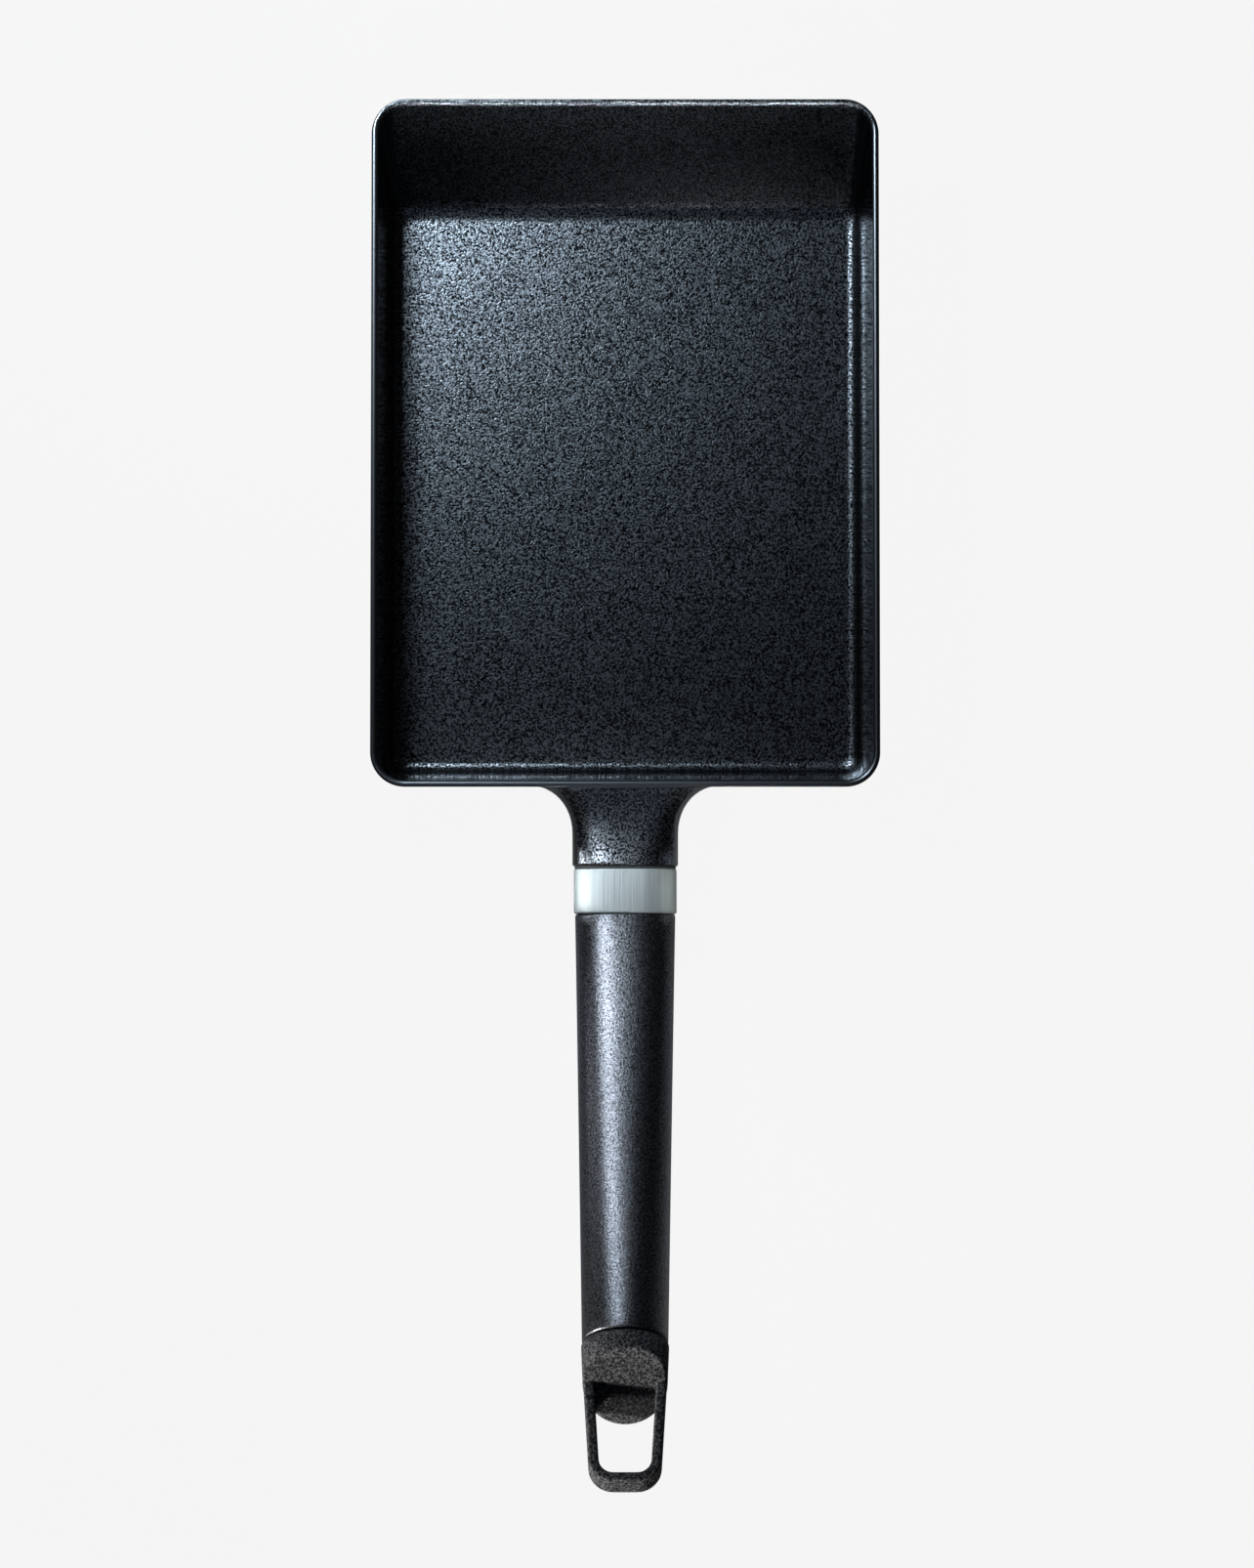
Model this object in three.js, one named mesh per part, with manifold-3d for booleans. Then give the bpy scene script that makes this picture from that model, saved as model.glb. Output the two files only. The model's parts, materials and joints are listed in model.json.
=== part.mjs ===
// Egg pan: a cast rectangular pan with one sloped end wall, and a swept handle with a hanging loop.
// Millimetres, +Z up. The origin lies on the base plane, under the middle of the rim.
// The handle runs to -Y.

import * as THREE from 'three';
import { mergeVertices } from 'three/addons/utils/BufferGeometryUtils.js';
import Module from 'manifold-3d';

const wasm = await Module();
wasm.setup();

const degrees = THREE.MathUtils.degToRad;

// Pan casting, measured over the outside of the rim
const rimLength = 189;
const rimWidth = 139;
const panHeight = 35;
const rimCornerRadius = 9.5;
const floorCornerRadius = 3.5;
const wallThickness = 1.8;
const floorThickness = 3.5;
const lipRound = 0.8;
const sideLean = degrees(5.8);
const nearLean = degrees(7.9);
const farLean = degrees(37.5);
const sideFillet = 3;
const nearFillet = 3;
const farFillet = 7;

// Neck, cast in one with the pan, and the tang inside the handle
const neckLength = 21;
const neckHalfWidth = 14.5;
const neckHalfHeight = 11.2;
const neckFlare = 12;
const neckRimDrop = 0.4;
const neckRootBottom = 8;
const neckRootSquareness = 6;
const neckEdge = 0.6;
const handleHeight = 19.5;
const tangHalfWidth = 6.5;
const tangHalfHeight = 6;
const tangReach = 46;
const tangSquareness = 5;

// Handle, measured along its swept centre line
const gasketThickness = 0.5;
const gasketInset = 0.2;
const ferruleLength = 12.2;
const ferruleWall = 1.2;
const ferruleHalfWidth = 14.1;
const ferruleHalfHeight = 10.9;
const ferruleBevel = 0.4;
const ferruleSquareness = 2.9;
const gripLength = 120.2;
const gripStartHalfWidth = 13.75;
const gripStartHalfHeight = 10.7;
const gripEndHalfWidth = 11.6;
const gripEndHalfHeight = 11.5;
const gripEndSquareness = 2;
const gripEdge = 0.6;
const endTilt = degrees(27);

// End cap with its hanging loop, measured from the seam with the grip
const capHalfWidth = 11.85;
const capHalfHeight = 11.6;
const capTaper = 0.04;
const capSquareness = 2.7;
const capShoulder = 4;
const capEdge = 0.5;
const capTopLength = 6;
const capUnderLength = 19.5;
const spigotRadius = 7;
const spigotLength = 10;
const loopLength = 40.1;
const loopThickness = 8.5;
const loopDrop = 2.25;
const loopRootHalfWidth = 11.4;
const loopRoot = 7;
const loopEndHalfWidth = 9.4;
const loopArm = 2.8;
const loopBar = 2.7;
const loopOuterCorner = 7.5;
const loopInnerCorner = 4.5;

// Tie bolt with its washers, and the screw that holds the end cap
const boltRadius = 2.5;
const boltHeadRadius = 4.25;
const boltHeadHeight = 5;
const boltKeyAcross = 4;
const boltKeyDepth = 2.5;
const boltChamfer = 0.5;
const boltEngagement = 11;
const tapRunout = 1.5;
const flatWasherRadius = 5;
const flatWasherThickness = 1;
const lockWasherRadius = 4.6;
const lockWasherThickness = 1.3;
const lockWasherSplit = 1;
const headRoom = 1.2;
const capScrewInset = 5;
const capScrewRadius = 1.5;
const capScrewHeadRadius = 2.9;
const capScrewHeadHeight = 1.7;
const capScrewLength = 9;
const capScrewSunk = 0.4;
const capScrewSlotWidth = 0.8;
const capScrewSlotDepth = 0.8;

// Clearances
const seatGap = 0.15;
const fitGap = 0.3;
const seamGap = 0.5;

// Facets
const cornerSteps = 6;
const filletSteps = 5;
const lipSteps = 2;
const sectionSides = 32;
const neckSteps = 6;
const gripSteps = 12;
const tangSteps = 8;
const roundSides = 24;
const hexSides = 6;
const cutPast = 2;
const mergeTolerance = 1e-4;

// A closed mesh as a solid, with its shared vertices merged and its collapsed triangles dropped.
function solidOf(geometry) {
  const bare = geometry.clone();
  bare.deleteAttribute('normal');
  bare.deleteAttribute('uv');
  const merged = mergeVertices(bare, mergeTolerance);
  const corners = merged.index.array;
  const triangles = [];
  for (let i = 0; i < corners.length; i += 3) {
    const [a, b, c] = corners.slice(i, i + 3);
    if (a !== b && b !== c && c !== a) triangles.push(a, b, c);
  }
  const mesh = new wasm.Mesh({
    numProp: 3,
    vertProperties: new Float32Array(merged.attributes.position.array),
    triVerts: new Uint32Array(triangles),
  });
  return new wasm.Manifold(mesh);
}

function geometryOf(solid) {
  const mesh = solid.getMesh();
  const geometry = new THREE.BufferGeometry();
  geometry.setAttribute('position', new THREE.BufferAttribute(new Float32Array(mesh.vertProperties), 3));
  geometry.setIndex(new THREE.BufferAttribute(new Uint32Array(mesh.triVerts), 1));
  geometry.computeVertexNormals();
  return geometry;
}

// A closed body through rings of equal count, each counter-clockwise seen from where the rings lead.
function loft(rings) {
  const count = rings[0].length;
  const positions = [];
  const triangles = [];
  for (const ring of rings) {
    for (const point of ring) positions.push(...point.toArray());
  }
  for (let level = 0; level + 1 < rings.length; level++) {
    for (let i = 0; i < count; i++) {
      const a = level * count + i;
      const b = level * count + (i + 1) % count;
      triangles.push(a, b, b + count, a, b + count, a + count);
    }
  }
  const lastRing = (rings.length - 1) * count;
  for (const [ring, offset] of [[rings[0], 0], [rings[rings.length - 1], lastRing]]) {
    const centre = new THREE.Vector3();
    for (const point of ring) centre.addScaledVector(point, 1 / count);
    const hub = positions.length / 3;
    positions.push(...centre.toArray());
    for (let i = 0; i < count; i++) {
      const here = offset + i;
      const next = offset + (i + 1) % count;
      if (offset === 0) triangles.push(hub, next, here);
      else triangles.push(hub, here, next);
    }
  }
  const geometry = new THREE.BufferGeometry();
  geometry.setAttribute('position', new THREE.Float32BufferAttribute(positions, 3));
  geometry.setIndex(triangles);
  geometry.computeVertexNormals();
  return geometry;
}

// A revolved body about +Y from [radius, y] points that start and end on the axis.
function revolve(profile, sides = roundSides) {
  return new THREE.LatheGeometry(profile.map(([radius, y]) => new THREE.Vector2(radius, y)), sides);
}

// A straight round body about +Y between two heights.
function roundBar(radius, start, end) {
  return revolve([[0, start], [radius, start], [radius, end], [0, end]]);
}

// Pan walls: how far a leaning wall has run in from its top edge at a height above its foot,
// with a fillet that meets the floor.
function wallRun(lean, fillet, rise) {
  const tangentHeight = fillet * (1 - Math.sin(lean));
  const plainRun = (height) => (rise - height) * Math.tan(lean);
  const centreRun = plainRun(tangentHeight) + fillet * Math.cos(lean);
  return (height) => {
    if (height >= tangentHeight) return plainRun(height);
    const below = fillet - height;
    return centreRun - Math.sqrt(fillet * fillet - below * below);
  };
}

// A set of walls: the rectangle with round corners that they leave at a height above their foot.
function wallSet(inset, filletGrowth, foot, footCornerRadius) {
  const rise = panHeight - foot;
  const side = wallRun(sideLean, sideFillet + filletGrowth, rise);
  const near = wallRun(nearLean, nearFillet + filletGrowth, rise);
  const far = wallRun(farLean, farFillet + filletGrowth, rise);
  const topCornerRadius = rimCornerRadius - inset;
  const ring = (height, lip = 0) => {
    const share = Math.min(height / rise, 1);
    const corner = THREE.MathUtils.lerp(footCornerRadius, topCornerRadius, share) - lip;
    const right = rimWidth / 2 - inset - side(height) - lip;
    const back = rimLength / 2 - inset - far(height) - lip;
    const front = -rimLength / 2 + inset + near(height) + lip;
    const points = [];
    const centres = [[right - corner, back - corner], [corner - right, back - corner],
      [corner - right, front + corner], [right - corner, front + corner]];
    centres.forEach(([x, y], quarter) => {
      for (let step = 0; step <= cornerSteps; step++) {
        const angle = (quarter + step / cornerSteps) * Math.PI / 2;
        const swing = new THREE.Vector3(Math.cos(angle), Math.sin(angle), 0);
        points.push(new THREE.Vector3(x, y, foot + height).addScaledVector(swing, corner));
      }
    });
    return points;
  };
  const filletTop = (farFillet + filletGrowth) * (1 - Math.sin(sideLean));
  const heights = [];
  for (let step = 0; step <= filletSteps; step++) {
    heights.push(filletTop * (1 - Math.cos(step / filletSteps * Math.PI / 2)));
  }
  return { rise, ring, heights, near };
}

const outerWalls = wallSet(0, wallThickness, 0, floorCornerRadius + wallThickness);
const innerWalls = wallSet(wallThickness, 0, floorThickness, floorCornerRadius);

// The lip is rounded on both sides: the outside draws in, and the inside opens out.
function panOutside() {
  const rings = outerWalls.heights.map((height) => outerWalls.ring(height));
  for (let step = 0; step <= lipSteps; step++) {
    const angle = step / lipSteps * Math.PI / 2;
    const height = outerWalls.rise - lipRound * (1 - Math.sin(angle));
    rings.push(outerWalls.ring(height, lipRound * (1 - Math.cos(angle))));
  }
  return loft(rings);
}

function panCavity() {
  const rings = innerWalls.heights.map((height) => innerWalls.ring(height));
  for (let step = 0; step <= lipSteps; step++) {
    const angle = step / lipSteps * Math.PI / 2;
    const height = innerWalls.rise - lipRound * (1 - Math.sin(angle));
    rings.push(innerWalls.ring(height, -lipRound * (1 - Math.cos(angle))));
  }
  const above = innerWalls.ring(innerWalls.rise, -lipRound);
  rings.push(above.map((point) => point.clone().setZ(panHeight + cutPast)));
  return loft(rings);
}

// Handle frame: its origin is the middle of the neck's end face, +Y leads out along the handle
// and +Z is up.
const handle = new THREE.Group();
handle.position.set(0, -(rimLength / 2 + neckLength), handleHeight);
handle.rotation.z = Math.PI;
handle.updateMatrixWorld();

const ferruleStart = gasketThickness + 2 * seatGap;
const gripStart = ferruleStart + ferruleLength + seatGap;
const gripEnd = gripStart + gripLength;
const sweepRadius = gripLength / endTilt;

// The centre line runs level to the grip, sweeps up along it, and leaves it straight.
function centreLine(distance) {
  const along = THREE.MathUtils.clamp(distance - gripStart, 0, gripLength);
  const tilt = along / sweepRadius;
  const out = new THREE.Vector3(0, Math.cos(tilt), Math.sin(tilt));
  const up = new THREE.Vector3(0, -Math.sin(tilt), Math.cos(tilt));
  const point = new THREE.Vector3(0, sweepRadius * Math.sin(tilt), sweepRadius * (1 - Math.cos(tilt)));
  point.y += Math.min(distance, gripStart);
  point.addScaledVector(out, Math.max(distance - gripEnd, 0));
  return { point, tilt, out, up };
}

// An oval section across the centre line, from round (2) towards square (higher), above and below.
function section(distance, halfWidth, halfHeight, squareness, underSquareness = squareness) {
  const { point, up } = centreLine(distance);
  const ring = [];
  for (let i = 0; i < sectionSides; i++) {
    const angle = i / sectionSides * 2 * Math.PI;
    const power = 2 / (Math.cos(angle) > 0 ? squareness : underSquareness);
    const bulge = (value) => Math.sign(value) * Math.abs(value) ** power;
    const across = new THREE.Vector3(halfWidth * bulge(Math.sin(angle)), 0, 0);
    ring.push(across.add(point).addScaledVector(up, halfHeight * bulge(Math.cos(angle))));
  }
  return ring;
}

// A piece of one section along the centre line.
function runOf(start, end, halfWidth, halfHeight, squareness, steps = 1) {
  const rings = [];
  for (let step = 0; step <= steps; step++) {
    const distance = THREE.MathUtils.lerp(start, end, step / steps);
    rings.push(section(distance, halfWidth, halfHeight, squareness));
  }
  return loft(rings);
}

// The neck springs from inside the near wall, with its root lying along that wall's lean, and draws in
// through a flare to the section of the handle.
function neckRing(distance, rootShare, edge = 0) {
  const fromWall = Math.max(distance + neckLength, 0);
  const flareLeft = Math.max(neckFlare - fromWall, 0);
  const halfWidth = neckHalfWidth + neckFlare - Math.sqrt(neckFlare ** 2 - flareLeft ** 2) - edge;
  const ease = THREE.MathUtils.smoothstep(fromWall, 0, neckLength);
  const settle = 1 - (1 - fromWall / neckLength) ** 2;
  const top = THREE.MathUtils.lerp(panHeight - neckRimDrop - handleHeight, neckHalfHeight, settle) - edge;
  const bottom = THREE.MathUtils.lerp(neckRootBottom - handleHeight, -neckHalfHeight, ease) + edge;
  const squareness = THREE.MathUtils.lerp(neckRootSquareness, ferruleSquareness, ease);
  const ring = section(0, halfWidth, (top - bottom) / 2, squareness);
  for (const point of ring) {
    point.z += (top + bottom) / 2;
    point.y = distance - rootShare * outerWalls.near(point.z + handleHeight);
  }
  return ring;
}

function neck() {
  const rings = [neckRing(-neckLength - wallThickness / 2, 1)];
  for (let step = 0; step <= neckSteps; step++) {
    const fromWall = neckFlare * (1 - Math.cos(step / neckSteps * Math.PI / 2));
    rings.push(neckRing(fromWall - neckLength, 1 - fromWall / neckFlare));
  }
  rings.push(neckRing((neckFlare - neckLength - neckEdge) / 2, 0));
  rings.push(neckRing(-neckEdge, 0));
  rings.push(neckRing(0, 0, neckEdge));
  return loft(rings);
}

const tangEnd = gripStart + tangReach;

// Bolt line: from the end of the tang to the shoulder that the washers sit on, inside the grip's end.
const headStack = flatWasherThickness + lockWasherThickness + boltHeadHeight + 3 * seatGap;
const shoulder = gripEnd - spigotLength - headStack - headRoom;
const boltLine = new THREE.Group();
boltLine.position.copy(centreLine(shoulder).point);
const boltRun = new THREE.Vector3().subVectors(boltLine.position, centreLine(tangEnd).point);
boltLine.rotation.x = Math.atan2(boltRun.z, boltRun.y);
boltLine.updateMatrix();
const headSeat = headStack - boltHeadHeight;
const boltTip = -(boltRun.length() + boltEngagement);

const endFrame = new THREE.Group();
endFrame.position.copy(centreLine(gripEnd).point);
endFrame.rotation.x = endTilt;
endFrame.updateMatrix();

// Cap screw line: radial, from under the grip into the spigot. +Y points down, to the screw's head.
const capScrewAt = gripEnd - capScrewInset;
const capScrewLine = new THREE.Group();
const gripHalfHeightAt = (distance) => THREE.MathUtils.mapLinear(
  distance, gripStart, gripEnd, gripStartHalfHeight, gripEndHalfHeight);
const capScrewHeadTop = gripHalfHeightAt(capScrewAt) - capScrewSunk;
const capScrewTip = capScrewHeadTop - capScrewLength;
capScrewLine.position.copy(centreLine(capScrewAt).point);
capScrewLine.rotation.x = centreLine(capScrewAt).tilt - Math.PI / 2;
capScrewLine.updateMatrix();

// The hole for the cap screw, with its countersink.
function capScrewHole() {
  const head = capScrewHeadRadius + fitGap;
  const shank = capScrewRadius + fitGap;
  const neckOfHead = capScrewHeadTop - capScrewHeadHeight;
  const past = capScrewHeadTop + cutPast;
  const profile = [[0, capScrewTip - fitGap], [shank, capScrewTip - fitGap], [shank, neckOfHead],
    [head, capScrewHeadTop], [head, past], [0, past]];
  return revolve(profile).applyMatrix4(capScrewLine.matrix);
}

function panBody() {
  const toWorld = handle.matrixWorld;
  const tang = runOf(-neckEdge * 2, tangEnd, tangHalfWidth, tangHalfHeight, tangSquareness, tangSteps);
  const tapped = roundBar(boltRadius + fitGap, boltTip - tapRunout, -boltRun.length() + cutPast);
  tapped.applyMatrix4(boltLine.matrix);
  return solidOf(panOutside())
    .add(solidOf(neck().applyMatrix4(toWorld)))
    .subtract(solidOf(panCavity()))
    .add(solidOf(tang.applyMatrix4(toWorld)))
    .subtract(solidOf(tapped.applyMatrix4(toWorld)));
}

// The hole in the gasket and the socket in the grip, which pass the tang.
function tangRoom(start, end, steps) {
  const halfWidth = tangHalfWidth + fitGap;
  const halfHeight = tangHalfHeight + fitGap;
  return solidOf(runOf(start, end, halfWidth, halfHeight, tangSquareness, steps));
}

function neckGasket() {
  const halfWidth = ferruleHalfWidth - gasketInset;
  const halfHeight = ferruleHalfHeight - gasketInset;
  const sheet = runOf(seatGap, seatGap + gasketThickness, halfWidth, halfHeight, ferruleSquareness);
  return solidOf(sheet).subtract(tangRoom(-cutPast, ferruleStart + cutPast, 1));
}

function ferrule() {
  const end = ferruleStart + ferruleLength;
  const ring = (distance, inset) => section(
    distance, ferruleHalfWidth - inset, ferruleHalfHeight - inset, ferruleSquareness);
  const sleeve = loft([ring(ferruleStart, ferruleBevel), ring(ferruleStart + ferruleBevel, 0),
    ring(end - ferruleBevel, 0), ring(end, ferruleBevel)]);
  const bore = loft([ring(ferruleStart - cutPast, ferruleWall), ring(end + cutPast, ferruleWall)]);
  return solidOf(sleeve).subtract(solidOf(bore));
}

function gripRing(distance, inset = 0) {
  const share = (distance - gripStart) / gripLength;
  const halfWidth = THREE.MathUtils.lerp(gripStartHalfWidth, gripEndHalfWidth, share) - inset;
  const squareness = THREE.MathUtils.lerp(ferruleSquareness, gripEndSquareness, share);
  return section(distance, halfWidth, gripHalfHeightAt(distance) - inset, squareness);
}

// The grip carries the ferrule on a nose, takes the tang in a socket, and holds the bolt head at its end.
function grip() {
  const rings = [gripRing(gripStart, gripEdge)];
  for (let step = 0; step <= gripSteps; step++) {
    const share = step / gripSteps;
    rings.push(gripRing(THREE.MathUtils.lerp(gripStart + gripEdge, gripEnd - gripEdge, share)));
  }
  rings.push(gripRing(gripEnd, gripEdge));
  const noseInset = ferruleWall + fitGap;
  const nose = runOf(ferruleStart + fitGap, gripStart + gripEdge * 2,
    ferruleHalfWidth - noseInset, ferruleHalfHeight - noseInset, ferruleSquareness);
  const boltBore = roundBar(boltRadius + fitGap, -boltRun.length(), cutPast);
  const headBore = roundBar(flatWasherRadius + fitGap, 0, gripEnd - shoulder + cutPast);
  const spigotBore = roundBar(spigotRadius + fitGap, -spigotLength - fitGap, cutPast);
  return solidOf(loft(rings))
    .add(solidOf(nose))
    .subtract(tangRoom(-cutPast, tangEnd + fitGap, tangSteps * 2))
    .subtract(solidOf(boltBore.applyMatrix4(boltLine.matrix)))
    .subtract(solidOf(headBore.applyMatrix4(boltLine.matrix)))
    .subtract(solidOf(spigotBore.applyMatrix4(endFrame.matrix)))
    .subtract(solidOf(capScrewHole()));
}

// The loop is a U of one thickness, drawn flat: two arms that draw together and a bar with round corners.
function loopOutline() {
  const outerEdge = (along) => THREE.MathUtils.mapLinear(
    along, loopRoot, loopLength, loopRootHalfWidth, loopEndHalfWidth);
  const side = (shape, inset, end, corner, direction) => {
    const width = (along) => direction * (outerEdge(along) - inset);
    const turn = () => shape.quadraticCurveTo(width(end), end, width(end - corner), end - corner);
    const leave = () => shape.quadraticCurveTo(width(end), end, width(end) - direction * corner, end);
    return { width, turn, leave };
  };
  const shape = new THREE.Shape();
  const innerEnd = loopLength - loopBar;
  const outerRight = side(shape, 0, loopLength, loopOuterCorner, 1);
  const outerLeft = side(shape, 0, loopLength, loopOuterCorner, -1);
  const innerLeft = side(shape, loopArm, innerEnd, loopInnerCorner, -1);
  const innerRight = side(shape, loopArm, innerEnd, loopInnerCorner, 1);
  shape.moveTo(outerRight.width(loopRoot), loopRoot);
  shape.lineTo(outerRight.width(loopLength - loopOuterCorner), loopLength - loopOuterCorner);
  outerRight.leave();
  shape.lineTo(outerLeft.width(loopLength) + loopOuterCorner, loopLength);
  outerLeft.turn();
  shape.lineTo(outerLeft.width(loopRoot), loopRoot);
  shape.lineTo(innerLeft.width(loopRoot), loopRoot);
  shape.lineTo(innerLeft.width(innerEnd - loopInnerCorner), innerEnd - loopInnerCorner);
  innerLeft.leave();
  shape.lineTo(innerRight.width(innerEnd) - loopInnerCorner, innerEnd);
  innerRight.turn();
  shape.lineTo(innerRight.width(loopRoot), loopRoot);
  return shape;
}

// End cap, in the end frame: a round body, boxier above, that is cut off aslant, the spigot that enters
// the grip, and the loop.
function endCap() {
  const ring = (along, inset = 0) => {
    const slim = capTaper * along + inset;
    const ease = THREE.MathUtils.smoothstep(along, 0, capShoulder);
    const squareness = THREE.MathUtils.lerp(gripEndSquareness, capSquareness, ease);
    const oval = section(0, capHalfWidth - slim, capHalfHeight - slim, squareness, gripEndSquareness);
    return oval.map((point) => point.setY(along));
  };
  const bodyEnd = capUnderLength + cutPast;
  const body = loft([ring(seamGap, capEdge), ring(seamGap + capEdge), ring(capShoulder / 2),
    ring(capShoulder), ring(bodyEnd)]);
  const slantRun = capUnderLength - capTopLength;
  const slant = Math.atan2(slantRun, 2 * capHalfHeight);
  const reach = 2 * bodyEnd;
  const cut = new THREE.BoxGeometry(reach, reach, reach);
  cut.translate(0, reach / 2, 0);
  cut.rotateX(slant);
  cut.translate(0, (capTopLength + capUnderLength) / 2, 0);
  const spigot = roundBar(spigotRadius, -spigotLength, seamGap + capEdge * 2);
  const loop = new THREE.ExtrudeGeometry(loopOutline(), {
    depth: loopThickness, bevelEnabled: false, curveSegments: cornerSteps });
  loop.translate(0, 0, -loopThickness / 2 - loopDrop);
  const screwHole = solidOf(capScrewHole()).transform(endFrame.matrix.clone().invert().elements);
  return solidOf(body)
    .subtract(solidOf(cut))
    .add(solidOf(loop))
    .add(solidOf(spigot))
    .subtract(screwHole);
}

// Tie bolt, in the bolt line: the washers' shoulder is at 0 and the head lies outwards of it.
function tieBolt() {
  const headTop = headSeat + boltHeadHeight;
  const body = revolve([[0, boltTip], [boltRadius - boltChamfer, boltTip],
    [boltRadius, boltTip + boltChamfer], [boltRadius, headSeat],
    [boltHeadRadius, headSeat], [boltHeadRadius, headTop - boltChamfer],
    [boltHeadRadius - boltChamfer, headTop], [0, headTop]]);
  const keyRadius = boltKeyAcross / Math.sqrt(3);
  const key = new THREE.CylinderGeometry(keyRadius, keyRadius, boltKeyDepth + cutPast, hexSides);
  key.translate(0, headTop + (cutPast - boltKeyDepth) / 2, 0);
  return solidOf(body).subtract(solidOf(key));
}

function flatWasher() {
  const disc = roundBar(flatWasherRadius, seatGap, seatGap + flatWasherThickness);
  const hole = roundBar(boltRadius + fitGap, -cutPast, flatWasherThickness + cutPast);
  return solidOf(disc).subtract(solidOf(hole));
}

// The lock washer is a ring that is split on one side.
function lockWasher() {
  const bottom = flatWasherThickness + 2 * seatGap;
  const disc = roundBar(lockWasherRadius, bottom, bottom + lockWasherThickness);
  const hole = roundBar(boltRadius + fitGap, bottom - cutPast, bottom + lockWasherThickness + cutPast);
  const split = new THREE.BoxGeometry(lockWasherRadius * 2, lockWasherThickness * 4, lockWasherSplit);
  split.translate(lockWasherRadius, bottom, 0);
  return solidOf(disc).subtract(solidOf(hole)).subtract(solidOf(split));
}

// Cap screw, in its own line: a countersunk head with a slot, and a plain shank for its thread.
function capScrew() {
  const neckOfHead = capScrewHeadTop - capScrewHeadHeight;
  const body = revolve([[0, capScrewTip], [capScrewRadius, capScrewTip], [capScrewRadius, neckOfHead],
    [capScrewHeadRadius, capScrewHeadTop], [0, capScrewHeadTop]]);
  const slot = new THREE.BoxGeometry(capScrewHeadRadius * 4, capScrewSlotDepth * 2, capScrewSlotWidth);
  slot.translate(0, capScrewHeadTop, 0);
  return solidOf(body).subtract(solidOf(slot));
}

const castIron = { color: 0x24282e, roughness: 0.5, metalness: 0.3 };
const stainless = { color: 0xa9b1b4, roughness: 0.3, metalness: 1 };
const zincSteel = { color: 0x9a9c9e, roughness: 0.35, metalness: 1 };
const blackResin = { color: 0x16191d, roughness: 0.45, metalness: 0 };
const grainedResin = { color: 0x1e2125, roughness: 0.6, metalness: 0 };
const blackFibre = { color: 0x0c0c0c, roughness: 0.9, metalness: 0 };

function piece(name, solid, finish) {
  const mesh = new THREE.Mesh(geometryOf(solid), new THREE.MeshStandardMaterial(finish));
  mesh.name = name;
  return mesh;
}

const eggPan = new THREE.Group();
eggPan.add(piece('pan_body', panBody(), castIron), handle);
handle.add(piece('neck_gasket', neckGasket(), blackFibre));
handle.add(piece('ferrule', ferrule(), stainless));
handle.add(piece('grip', grip(), blackResin));
handle.add(boltLine, endFrame, capScrewLine);
boltLine.add(piece('tie_bolt', tieBolt(), zincSteel));
boltLine.add(piece('flat_washer', flatWasher(), zincSteel));
boltLine.add(piece('lock_washer', lockWasher(), zincSteel));
endFrame.add(piece('end_cap', endCap(), grainedResin));
capScrewLine.add(piece('cap_screw', capScrew(), zincSteel));

export default eggPan;
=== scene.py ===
import json
import math

import bmesh
import bpy
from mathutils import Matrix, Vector

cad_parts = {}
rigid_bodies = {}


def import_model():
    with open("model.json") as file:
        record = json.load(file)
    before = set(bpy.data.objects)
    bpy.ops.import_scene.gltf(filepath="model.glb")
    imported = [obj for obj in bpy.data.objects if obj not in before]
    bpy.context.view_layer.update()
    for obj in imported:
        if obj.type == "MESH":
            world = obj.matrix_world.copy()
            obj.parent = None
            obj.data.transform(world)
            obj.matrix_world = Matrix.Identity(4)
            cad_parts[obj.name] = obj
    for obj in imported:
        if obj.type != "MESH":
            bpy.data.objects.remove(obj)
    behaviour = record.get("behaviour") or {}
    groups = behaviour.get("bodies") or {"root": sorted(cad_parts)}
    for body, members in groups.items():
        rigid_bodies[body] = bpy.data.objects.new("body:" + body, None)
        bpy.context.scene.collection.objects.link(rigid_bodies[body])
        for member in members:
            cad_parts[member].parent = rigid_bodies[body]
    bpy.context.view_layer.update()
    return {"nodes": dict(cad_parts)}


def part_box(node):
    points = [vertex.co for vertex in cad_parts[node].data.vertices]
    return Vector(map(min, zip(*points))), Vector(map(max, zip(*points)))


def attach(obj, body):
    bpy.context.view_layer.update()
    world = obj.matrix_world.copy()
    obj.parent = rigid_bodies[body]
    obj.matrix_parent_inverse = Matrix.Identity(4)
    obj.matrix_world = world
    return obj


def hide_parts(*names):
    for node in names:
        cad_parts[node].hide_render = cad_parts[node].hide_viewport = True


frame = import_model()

print("frame loaded:", ", ".join(sorted(frame["nodes"])))

# places that the frame fixes, in metres
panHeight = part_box("pan_body")[1].z
gasketLow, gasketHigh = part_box("neck_gasket")
ferruleLow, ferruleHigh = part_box("ferrule")
seatGap = gasketLow.y - ferruleHigh.y      # the same small gap at each seat along the handle
neckEndY = gasketHigh.y + seatGap
gripStartY = ferruleLow.y - seatGap
handleZ = (ferruleLow.z + ferruleHigh.z) / 2


# what all pieces share, then the helpers that shape them

shaping = dict(
    smoothAngle=math.radians(40),      # edges that turn further than this stay crisp
    flatWeight=80,                     # how far large faces rule the shading beside them
    mergeDistance=0.0001,
    roundProfile=0.5,
)


def startPiece(name):
    bpy.ops.object.select_all(action="DESELECT")
    bpy.ops.mesh.primitive_plane_add(size=2)
    piece = bpy.context.object
    piece.name = name
    piece.data.name = name
    bpy.ops.object.mode_set(mode="EDIT")
    bpy.ops.mesh.select_mode(type="VERT")
    bpy.ops.mesh.delete(type="VERT")
    return piece


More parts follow.
